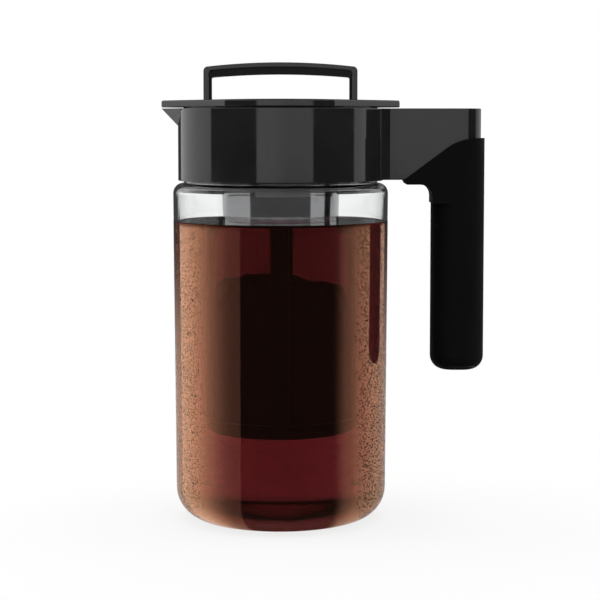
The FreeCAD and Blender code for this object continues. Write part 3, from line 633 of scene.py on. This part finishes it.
def make_grip():
    """Silicone sleeve: column with a rounded foot, elbow under the arm and a slanting upper edge."""
    column = slab("grip_sleeve", rounded([
        (GRIP_INNER, -GRIP_HALF, GRIP_ROUND), (GRIP_OUTER, -GRIP_HALF, GRIP_ROUND),
        (GRIP_OUTER, GRIP_HALF, GRIP_ROUND), (GRIP_INNER, GRIP_HALF, GRIP_ROUND)], 14),
        GRIP_FOOT, GRIP_TOP, grip_rubber, 6.6, 0.2, steps=8)
    elbow = slab_y("grip_elbow", rounded([
        (59.0, ELBOW_LOW, 0.8), (GRIP_INNER, ELBOW_LOW, 5.6), (GRIP_INNER, 150.0), (84.0, 150.0),
        (84.0, GRIP_TOP), (ELBOW_INNER, GRIP_TOP), (ELBOW_INNER, 161.0, 0.8)], 6), GRIP_HALF, grip_rubber)
    combine(column, elbow, "UNION")
    crest = slab_y("grip_crest", rounded([
        (50.0, 161.0), (57.8, 161.0), (83.4, 180.0, 21.0), (98.5, 180.75), (98.5, 190.0),
        (50.0, 190.0)], 14), 16.0, grip_rubber)
    combine(column, crest, "DIFFERENCE")
    edge = column.modifiers.new("edge", "BEVEL")
    edge.width = 0.4 * MM
    edge.segments = 2
    edge.limit_method = "ANGLE"
    edge.angle_limit = math.radians(50)
    even_normals(column)
    place(column, "jug", "grip_silicone", "grip_sleeve")


make_jar()
make_liquid()
make_film()
make_collar()
make_handle()
make_grip()

# ---------------------------------------------------------------- lid

COVER = 195.4  # underside of the cover in CAD
COVER_RADIUS = 48.0
COVER_EDGE = 0.9
DOME = 0.7
LOBE_TIP = 2.0
SLOT_MIDDLE = 34.6


def lid_outline():
    """Plan of the cover: a disc with a pointed lobe along -X and one along +X."""
    foot_x, foot_y = 42.35, 18.9
    foot = Vector((foot_x, foot_y))
    lobe = Vector((56.49 - foot_x, 0.9 - foot_y)).normalized()
    nearest = foot - lobe * foot.dot(lobe)
    touch = nearest - lobe * math.sqrt(COVER_RADIUS ** 2 - nearest.length_squared)
    start = math.atan2(touch.y, touch.x)
    slope = math.atan2(touch.y, SPOUT_REACH - touch.x)
    tip_x = SPOUT_REACH + LOBE_TIP * (1 / math.sin(slope) - 1)
    right = rounded([(touch.x, -touch.y), (tip_x, 0, LOBE_TIP), (touch.x, touch.y)], 8, closed=False)[1:-1]
    top = arc(COVER_RADIUS, start, math.pi - start, 60)
    return right + top + [(-x, -y) for x, y in right + top]


def make_cover():
    """Domed disc with rounded edges; two slots take the feet of the loop."""
    outline = lid_outline()
    low, high = COVER - 0.4, COVER + 2.9
    rings = []
    for shrink, rise in edge_steps(0.5):
        rings.append([(x, y, low + rise) for x, y in inset(outline, shrink)])
    for shrink, rise in reversed(edge_steps(COVER_EDGE, 5)):
        rings.append([(x, y, high - rise) for x, y in inset(outline, shrink)])
    last = inset(outline, COVER_EDGE)
    for share in (0.93, 0.8, 0.6, 0.4, 0.2, 0.05):
        rings.append([(x * share, y * share, high + DOME * (1 - share ** 2)) for x, y in last])
    cover = stack("lid_cover", rings, gloss_black)
    for middle in (-SLOT_MIDDLE, SLOT_MIDDLE):
        hole = [(middle - 2.0, -4.6), (middle + 2.0, -4.6), (middle + 2.0, 4.6), (middle - 2.0, 4.6)]
        combine(cover, wedge("slot", hole, hole, COVER - 1, COVER + 6, gloss_black), "DIFFERENCE")
    even_normals(cover)
    place(cover, "lid", "gloss_black", "lid_cover")


LOOP_HALF = 36.2
LOOP_LEG = 3.7
LOOP_DEPTH = 4.5  # half of it, from the middle plane
LOOP_TOP = COVER + 20.7
LOOP_BAR = 5.6
OUTER_DROP = 1.9
INNER_DROP = 1.4
OUTER_CORNER = 2.2
INNER_CORNER = 0.9
CORNER_STEPS = 8
BAR_STEPS = 40
LEG_RIM = 0.70
BAR_RIM = 0.42


def loop_lines():
    """(outer point, inner point, flat share of the way between them), from the right foot to the left."""
    lines = [((LOOP_HALF, z), (LOOP_HALF - LOOP_LEG, z), LEG_RIM)
             for z in (COVER - 2.4, COVER + 3, COVER + 8, COVER + 12)]
    outer_x = LOOP_HALF - OUTER_CORNER
    outer_z = LOOP_TOP - OUTER_DROP - OUTER_CORNER
    inner_x = LOOP_HALF - LOOP_LEG - INNER_CORNER
    inner_z = LOOP_TOP - LOOP_BAR - INNER_DROP - INNER_CORNER
    for step in range(CORNER_STEPS + 1):
        angle = math.pi / 2 * step / CORNER_STEPS
        across, up = math.cos(angle), math.sin(angle)
        lines.append(((outer_x + OUTER_CORNER * across, outer_z + OUTER_CORNER * up),
                      (inner_x + INNER_CORNER * across, inner_z + INNER_CORNER * up),
                      LEG_RIM + (BAR_RIM - LEG_RIM) * step / CORNER_STEPS))
    left = [((-outer[0], outer[1]), (-inner[0], inner[1]), rim)
            for outer, inner, rim in reversed(lines)]
    for step in range(1, BAR_STEPS):
        x = 1 - 2 * step / BAR_STEPS
        lines.append(((x * outer_x, LOOP_TOP - OUTER_DROP * x ** 2),
                      (x * inner_x, LOOP_TOP - LOOP_BAR - INNER_DROP * x ** 2), BAR_RIM))
    return lines + left


def loop_section(reach, rim):
    """Section of the loop as (depth from the outer line, y): flat rim, then a chamfer towards the hand."""
    side = [(0, 0.5), (0.15, 0.15), (0.5, 0), (rim - 0.15, 0), (rim + 0.15, 0.12), (reach - 0.25, 0.75),
            (reach - 0.08, 0.9), (reach, 1.2)]
    section = [(depth, back - LOOP_DEPTH) for depth, back in side]
    return section + [(depth, -y) for depth, y in reversed(section)]


def make_loop():
    """Carrying loop: a flat outer rim and inner edges chamfered towards the hand."""
    rings = []
    for outer, inner, rim in loop_lines():
        line = Vector((inner[0] - outer[0], inner[1] - outer[1]))
        ring = []
        for depth, y in loop_section(line.length, line.length * rim):
            spot = Vector(outer) + line * (depth / line.length)
            ring.append((spot.x, y, spot.y))
        rings.append(ring)
    loop = stack("lid_loop", rings, gloss_black, sharp=28)
    even_normals(loop)
    place(loop, "lid", "gloss_black", "lid_handle")


make_cover()
make_loop()

# ---------------------------------------------------------------- infuser

HOOP_LOW = 139.6
HOOP_HIGH = 142.0
CAGE_LOW = 48.5
CAGE_RADIUS = 27.0
CAGE_INSIDE = 25.0
RIB_HALF = 3.5
MESH_RADIUS = 26.0
MESH_HALF = 0.15
MESH_TUCK = 0.01  # radians that a window reaches into the rib at each side
HEAP_FOOT = 43.4
HEAP_TOP = 112.0
HEAP_RADIUS = 24.6


def make_infuser_ring():
    """Neck ring of the infuser, wider towards the lid, with a ledge that carries the seal."""
    ring = lathe("infuser_cap", rounded([
        (25.1, 141.5, 0.2), (27.4, 141.5, 0.2), (28.2, 167.5, 0.8), (25.5, 167.5, 0.4), (25.5, 152.5, 0.3),
        (22.6, 152.5, 0.3), (22.6, 150.1, 0.3), (25.1, 150.1, 0.3)], 4), ring_gloss)
    even_normals(ring)
    place(ring, "infuser", "gloss_black", "infuser_ring")


def make_cage():
    """Hoop with the collar that goes into the neck ring, and four ribs below it."""
    cage = lathe("infuser_cage", rounded([
        (22.7, HOOP_LOW, 0.4), (CAGE_RADIUS, HOOP_LOW, 0.4), (CAGE_RADIUS, HOOP_HIGH, 0.2),
        (25.0, HOOP_HIGH), (25.0, 148.0, 0.5), (23.0, 148.0, 0.4), (23.0, HOOP_HIGH - 1)], 3), wet_black)
    for quarter in range(4):
        turn = math.pi / 2 * quarter
        outside = math.asin(RIB_HALF / CAGE_RADIUS)
        inside = math.asin(RIB_HALF / CAGE_INSIDE)
        outline = arc(CAGE_RADIUS, turn - outside, turn + outside, 8)
        outline += arc(CAGE_INSIDE, turn + inside, turn - inside, 8)
        join(cage, slab("rib", outline, CAGE_LOW - 0.5, HOOP_LOW + 0.5, wet_black))
    even_normals(cage)
    place(cage, "infuser", "black_plastic", "infuser_frame")


def make_mesh_panels():
    """A window of woven mesh in each quarter of the cage, its edges just inside the ribs."""
    rib = math.asin(RIB_HALF / MESH_RADIUS) - MESH_TUCK
    for quarter in range(4):
        start = math.pi / 2 * quarter + rib
        end = start + math.pi / 2 - 2 * rib
        outline = arc(MESH_RADIUS + MESH_HALF, start, end, 24)
        outline += arc(MESH_RADIUS - MESH_HALF, end, start, 24)
        panel = slab("mesh_window_%d" % (quarter + 1), outline, CAGE_LOW, HOOP_LOW + 0.1, mesh_cloth)
        place(panel, "infuser", "mesh", "mesh_panel_%d" % (quarter + 1))


def heap_ring(share, segments=96):
    """One ring of the heap's side: share 0 is the foot and 1 the broken upper edge."""
    ring = []
    for index in range(segments):
        angle = 2 * math.pi * index / segments
        way = Vector((math.cos(angle), math.sin(angle), 0))
        lump = noise.fractal(way * 2.2 + Vector((0, 0, share * 5)), 1.0, 2.0, 4)
        crest = HEAP_TOP + 4.0 * noise.noise(way * 1.6) + 3.0 * noise.noise(way * 5.0)
        away = HEAP_RADIUS - 0.5 * abs(lump)
        if share > 0.9:
            away -= (share - 0.9) * 45 * (0.7 + 0.5 * noise.noise(way * 4.0))
        if share < 0.06:
            away -= (0.06 - share) * 60
        ring.append((way.x * away, way.y * away, HEAP_FOOT + (crest - HEAP_FOOT) * share + 0.4 * lump))
    return ring


def make_grounds_heap():
    """Wet grounds in the cage: a packed column with a broken, lumpy top."""
    levels = 40
    rings = [heap_ring(level / levels) for level in range(levels + 1)]
    crest = rings[-1]
    for share in (0.9, 0.75, 0.6, 0.45, 0.3, 0.15, 0.05):
        ring = []
        for x, y, z in crest:
            lump = noise.noise(Vector((x, y, 7)) * share * 0.22)
            ring.append((x * share, y * share, z + 3.5 * (1 - share) + 2.2 * lump))
        rings.append(ring)
    place(stack("coffee_grounds", rings, coffee_grounds, sharp=80), "infuser", "mesh")


make_infuser_ring()
make_cage()
make_mesh_panels()
make_grounds_heap()

NODE_MATERIALS = {
    "neck_gasket": seal_rubber, "neck_ring": satin_black, "handle_screws": steel, "lid_body": satin_black,
    "lid_gasket": seal_rubber, "lid_top_seal": seal_rubber, "infuser_seal": seal_rubber,
    "infuser_base": wet_black, "base_mesh": mesh_cloth,
}
for name, material in NODE_MATERIALS.items():
    for material_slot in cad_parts[name].material_slots:
        material_slot.material = material

# ---------------------------------------------------------------- studio


def make_floor():
    """Pale round table top that keeps the object's shadow and fades into the white surroundings."""
    made, tree = new_material("studio_floor")
    path = node(tree, "ShaderNodeLightPath")
    direct = math_node(tree, "MAXIMUM", path.outputs["Is Camera Ray"], path.outputs["Is Transmission Ray"])
    paint = node(tree, "ShaderNodeBsdfDiffuse", {"Color": (0.86, 0.86, 0.86, 1)})
    glow = node(tree, "ShaderNodeEmission", {"Color": (1, 1, 1, 1), "Strength": 1.0})
    show(tree, mix_shader(tree, product(tree, direct, 0.8), paint.outputs[0], glow.outputs[0]))
    radius, top, underside = 300, -0.02, -3
    floor = lathe("studio_floor_top", [(0, top), (radius, top), (radius, underside), (0, underside)], made,
                  closed=False)
    floor.visible_glossy = False
    floor.visible_transmission = False


# Strengths of the world; 1 is white.
LEFT_LIGHT = 1.0
RIGHT_LIGHT = 0.8
LOW_RIGHT_LIGHT = 0.6
SCREEN_LIGHT = 0.03
FLAG_LIGHT = 0.05
LOW_FLAG_LIGHT = 0.65
ROOM_LIGHT = 0.62
INNER_LIGHTS = (0.12, 0.85)

# Shares of a strength: the first two are what is kept of the low light, the others are what rays lose.
LOW_LIGHT_AT_LINE = 0.05
LOW_LIGHT_IN_FRONT = 0.25
UPWARD_LOSS = 0.96
SURFACE_LOSS = 0.985

# Angles in degrees between which a part of the studio begins or ends, as (from, to).
# Turn is the direction round the object, 0 towards the camera and positive to the right. Panel is twice the
# direction that the mirroring surface faces, so that edges stay upright over the jug's rounded bottom too.
# Rise is the angle above level. Fold is the turn folded back at every 45 degrees.
LOW = (-2.6, -2.3)  # mirrored rays below this come from the jug under the coffee line
LEFT_SCREEN = (-82.8, -25.8)
RIGHT_SCREEN = (36.8, 90)
SCREEN_TOP = (35, 50)
LOW_SCREEN_LEFT = (-43.6, -42.4)
LOW_SCREEN_RIGHT = (57, 74)
LOW_LIGHT_SPREAD = (48, 100)
LOW_LIGHT_TOP = (-3.16, -3.08)
BEHIND = (148, 150)
LEFT_EDGE = (-137.5, -136.5)
BEHIND_FOOT = (-32, -28)
FLAG_FADE = (-9.5, -3.3)
FLAG_START_RISE = (-3.28, -3.18)
FLAG_STARTS = (21, 16)
FLAG_END = (30.5, 31.5)
FLAG_TOP = (-3.0, -2.4)
UPWARD = (1.6, 2.2)
INNER_EDGE = (60.6, 61.8)
SURFACE_RISE = (0.8, 1.6)
SURFACE_TURN = (140, 148)
FAR_WALL_RISE = (-3.3, -1.5)
FAR_WALL_TURN = (122, 126)

# Degrees that a level edge on the round jug lies lower in front than at the sides, and softness of edges.
LINE_BOW = 1.014
FAR_WALL_BOW = 0.82
SCREEN_SOFT = 0.6
FAR_WALL_SOFT = 0.1
SIDE_FADE = 0.2  # radians on either side of the camera in which the left light gives way to the right one


def angle_ramp(tree, angle, limits, to_low=0.0, to_high=1.0):
    """Ramp between two angles in degrees."""
    return ramp(tree, angle, math.radians(limits[0]), math.radians(limits[1]), to_low, to_high)


def window(tree, angle, limits, soft):
    """1 between two angles in degrees with soft ends, 0 outside."""
    low, high = limits
    rise = angle_ramp(tree, angle, (low - soft, low + soft))
    fall = angle_ramp(tree, angle, (high - soft, high + soft), 1.0, 0.0)
    return product(tree, rise, fall)


def inverse(tree, value):
    """1 minus the value."""
    return math_node(tree, "SUBTRACT", 1.0, value)


class Rays:
    """Direction and kind of the ray that reaches the world, as node outputs."""

    def __init__(self, tree):
        self.tree = tree
        way = node(tree, "ShaderNodeTexCoord").outputs["Generated"]
        x, y, z = node(tree, "ShaderNodeSeparateXYZ", {0: way}).outputs[:3]
        facing = math_node(tree, "ARCTAN2", x, math_node(tree, "SUBTRACT", 1.0, y))
        self.panel = product(tree, facing, 2.0)
        self.bow_share = math_node(tree, "COSINE", facing)
        self.turn = math_node(tree, "ARCTAN2", x, product(tree, y, -1.0))
        self.away = math_node(tree, "ABSOLUTE", self.turn)
        self.rise = math_node(tree, "ARCSINE", z)
        self.path = node(tree, "ShaderNodeLightPath").outputs

    def level_rise(self, bow):
        """Rise with the bow of a level edge, in degrees, taken out."""
        taken = product(self.tree, self.bow_share, math.radians(bow))
        return math_node(self.tree, "ADD", self.rise, taken)

    def by_side(self, left, right):
        """The left value for rays to the left and the right one for rays to the right."""
        return ramp(self.tree, self.turn, -SIDE_FADE, SIDE_FADE, left, right)


def mirrored_level(tree, rays, flag_level):
    """What gloss shows: side lights, dark screens between them, and flags where the surface turns away."""
    low = angle_ramp(tree, rays.rise, LOW, 1.0, 0.0)
    screens = math_node(tree, "MAXIMUM", window(tree, rays.panel, LEFT_SCREEN, SCREEN_SOFT),
                        window(tree, rays.panel, RIGHT_SCREEN, SCREEN_SOFT))
    screens = product(tree, screens, inverse(tree, low), angle_ramp(tree, rays.rise, SCREEN_TOP, 1.0, 0.0))
    low_screen = product(tree, angle_ramp(tree, rays.panel, LOW_SCREEN_LEFT),
                         angle_ramp(tree, rays.panel, LOW_SCREEN_RIGHT, 1.0, 0.0), low)
    dark = math_node(tree, "MAXIMUM", screens, low_screen)

    low_top = angle_ramp(tree, rays.level_rise(LINE_BOW), LOW_LIGHT_TOP, 1.0, LOW_LIGHT_AT_LINE)
    low_spread = angle_ramp(tree, math_node(tree, "ABSOLUTE", rays.panel), LOW_LIGHT_SPREAD,
                            LOW_LIGHT_IN_FRONT, 1.0)
    low_side = product(tree, rays.by_side(LEFT_LIGHT, LOW_RIGHT_LIGHT), low_top, low_spread)
    side = mix(tree, low, rays.by_side(LEFT_LIGHT, RIGHT_LIGHT), low_side)
    ahead = mix(tree, dark, side, SCREEN_LIGHT)

    left_edge = product(tree, angle_ramp(tree, rays.turn, LEFT_EDGE, 1.0, 0.0), low)
    behind = math_node(tree, "MAXIMUM", angle_ramp(tree, rays.away, BEHIND), left_edge)
    behind = product(tree, behind, angle_ramp(tree, rays.rise, BEHIND_FOOT))
    return mix(tree, behind, ahead, flag_level)


def side_flags(tree, rays):
    """1 on the dark flags, two in each quarter turn, that show through the sides of the coffee."""
    fold = math_node(tree, "PINGPONG", rays.turn, math.pi / 4)
    start = angle_ramp(tree, rays.rise, FLAG_START_RISE, *[math.radians(turn) for turn in FLAG_STARTS])
    return product(tree, math_node(tree, "GREATER_THAN", fold, start),
                   angle_ramp(tree, fold, FLAG_END, 1.0, 0.0),
                   angle_ramp(tree, rays.rise, FLAG_TOP, 1.0, 0.0))


def glass_level(tree, rays, flag_level):
    """What shows through the jug: white with dark flags in the coffee's sides, and rims in the clear part.

    Light Path counts two passes through the wall alone, four through the empty jug and more through coffee.
    """
    passes = rays.path["Transmission Depth"]
    dry = math_node(tree, "LESS_THAN", passes, 4.5)
    wall_only = math_node(tree, "LESS_THAN", passes, 2.5)
    mirrored = product(tree, math_node(tree, "GREATER_THAN", rays.path["Glossy Depth"], 0.5), dry)

    upward = product(tree, angle_ramp(tree, rays.rise, UPWARD), dry, UPWARD_LOSS)
    beyond = product(tree, mix(tree, side_flags(tree, rays), 1.0, flag_level), inverse(tree, upward))

    surface = product(tree, angle_ramp(tree, rays.rise, SURFACE_RISE, 0.0, SURFACE_LOSS),
                      angle_ramp(tree, rays.away, SURFACE_TURN))
    far_wall = product(tree, window(tree, rays.level_rise(FAR_WALL_BOW), FAR_WALL_RISE, FAR_WALL_SOFT),
                       angle_ramp(tree, rays.away, FAR_WALL_TURN, 1.0, 0.0))
    inner = product(tree, angle_ramp(tree, rays.away, INNER_EDGE, *INNER_LIGHTS),
                    inverse(tree, math_node(tree, "MAXIMUM", surface, far_wall)))
    return mix(tree, wall_only, mix(tree, mirrored, beyond, inner), flag_level)


def make_world():
    """White surroundings; gloss and glass see light panels with dark flags and screens between them."""
    world = bpy.data.worlds.new("studio")
    scene.world = world
    world.use_nodes = True
    tree = world.node_tree
    tree.nodes.clear()
    rays = Rays(tree)
    through = rays.path["Is Transmission Ray"]
    flag_level = angle_ramp(tree, rays.rise, FLAG_FADE, LOW_FLAG_LIGHT, FLAG_LIGHT)
    studio = mix(tree, through, mirrored_level(tree, rays, flag_level), glass_level(tree, rays, flag_level))
    seen = math_node(tree, "MAXIMUM", rays.path["Is Glossy Ray"], through)
    strength = mix(tree, rays.path["Is Camera Ray"], mix(tree, seen, ROOM_LIGHT, studio), 1.0)
    glow = node(tree, "ShaderNodeBackground", {"Color": (1, 1, 1, 1), "Strength": strength})
    node(tree, "ShaderNodeOutputWorld", {"Surface": glow.outputs[0]})


def add_lamp(name, spot, size, watts):
    """A soft square lamp that points at the object and that gloss and glass don't show."""
    lamp = bpy.data.lights.new(name, "AREA")
    lamp.size = size
    lamp.energy = watts
    made = bpy.data.objects.new(name, lamp)
    made.location = spot
    made.rotation_euler = (Vector(OBJECT_MIDDLE) - Vector(spot)).to_track_quat("-Z", "Y").to_euler()
    made.visible_glossy = False
    made.visible_transmission = False
    scene.collection.objects.link(made)


OBJECT_MIDDLE = (0, 0, 0.1)
CAMERA_PLACE = (0.00918, -0.83872, 0.18655)
CAMERA_TILT = 0.0782  # radians below level


def make_camera():
    """Camera at the photograph's viewing angle."""
    camera = bpy.data.cameras.new("camera")
    camera.sensor_width = 36.0
    camera.lens = 106.1
    camera.shift_y = -0.06
    camera.clip_start = 0.01
    eye = bpy.data.objects.new("camera", camera)
    eye.location = CAMERA_PLACE
    eye.rotation_euler = (math.pi / 2 - CAMERA_TILT, 0, 0)
    scene.collection.objects.link(eye)
    scene.camera = eye


make_floor()
make_world()
add_lamp("lamp_top", (0.0, 0.1, 0.9), size=0.8, watts=4.0)
add_lamp("lamp_left", (-0.8, 0.1, 0.35), size=0.6, watts=3.0)
add_lamp("lamp_right", (0.9, 0.15, 0.35), size=0.6, watts=2.5)
make_camera()
scene.view_settings.view_transform = "Standard"
